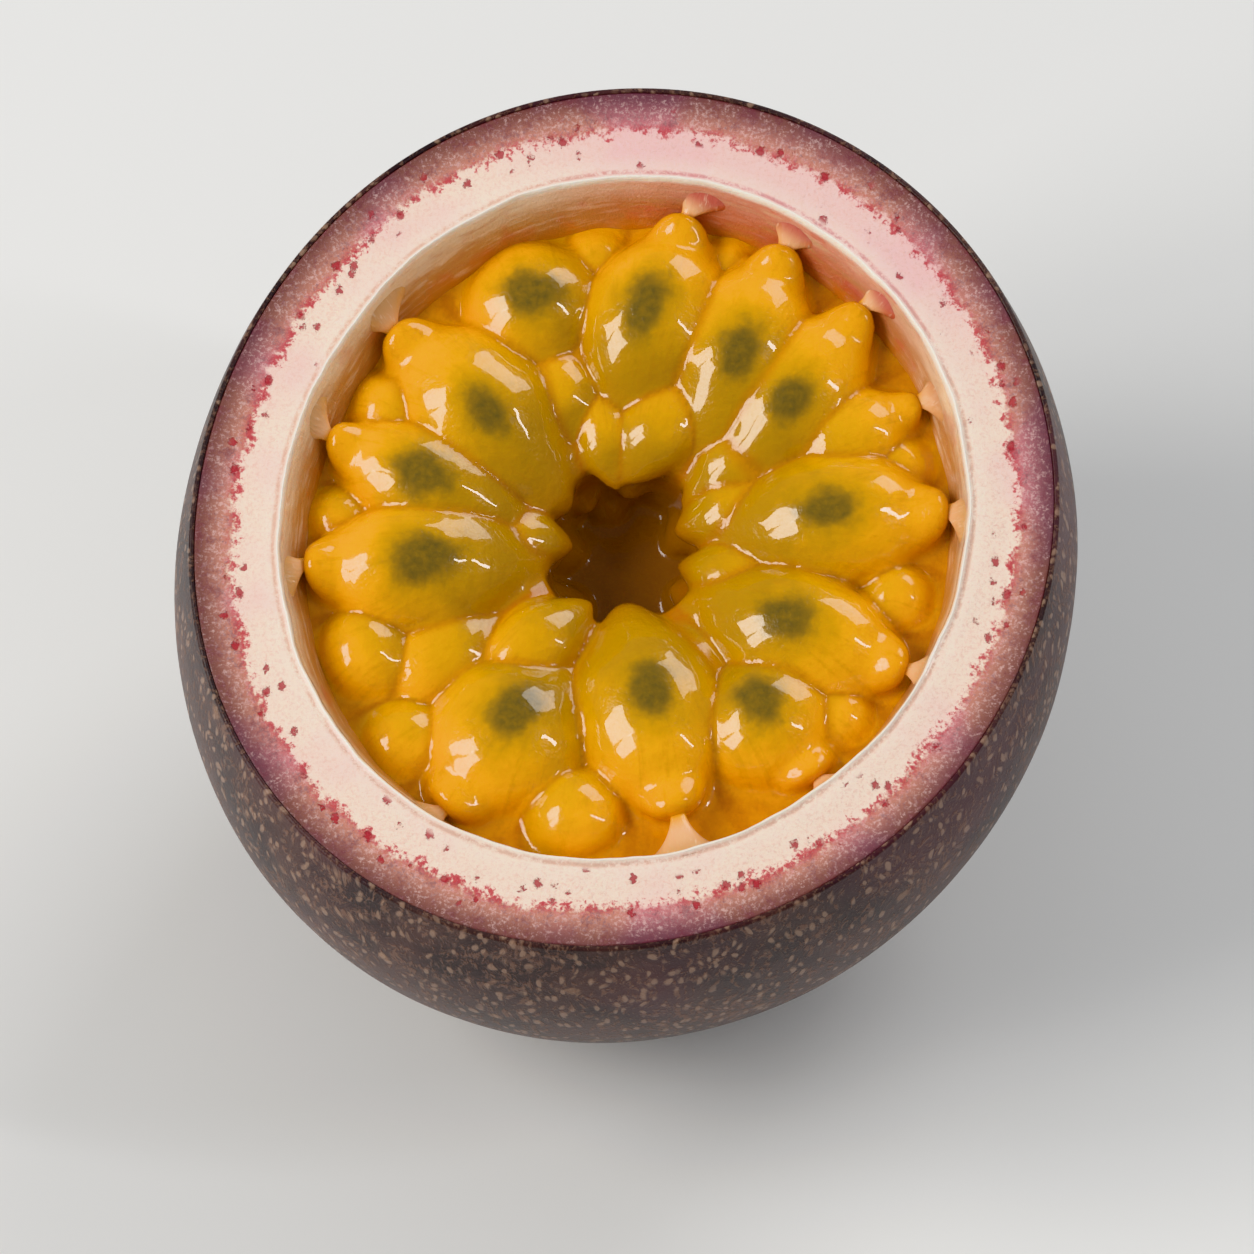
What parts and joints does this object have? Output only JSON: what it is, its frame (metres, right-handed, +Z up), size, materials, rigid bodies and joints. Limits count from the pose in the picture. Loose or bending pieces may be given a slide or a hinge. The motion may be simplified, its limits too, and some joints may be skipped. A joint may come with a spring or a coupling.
{
  "type": "passion fruit half",
  "caption": "Half of a purple passion fruit, cut across: speckled dark rind, pale pith and a lumpy yellow pulp of juice sacs round a small central hollow.",
  "frame": {"origin": "middle of the small flat spot on the rind that the half rests on", "axes": "+Z up; the cut face looks up and leans 17 degrees towards -Y, which is the front; +X is to the right of someone facing the cut from the front"},
  "size_m": [0.0554, 0.0587, 0.047],
  "materials": {
    "skin": "satin",
    "pith": "satin",
    "pulp": "gloss"
  },
  "bodies": {
    "root": {"passion_fruit_half": "skin"}
  },
  "joints": []
}
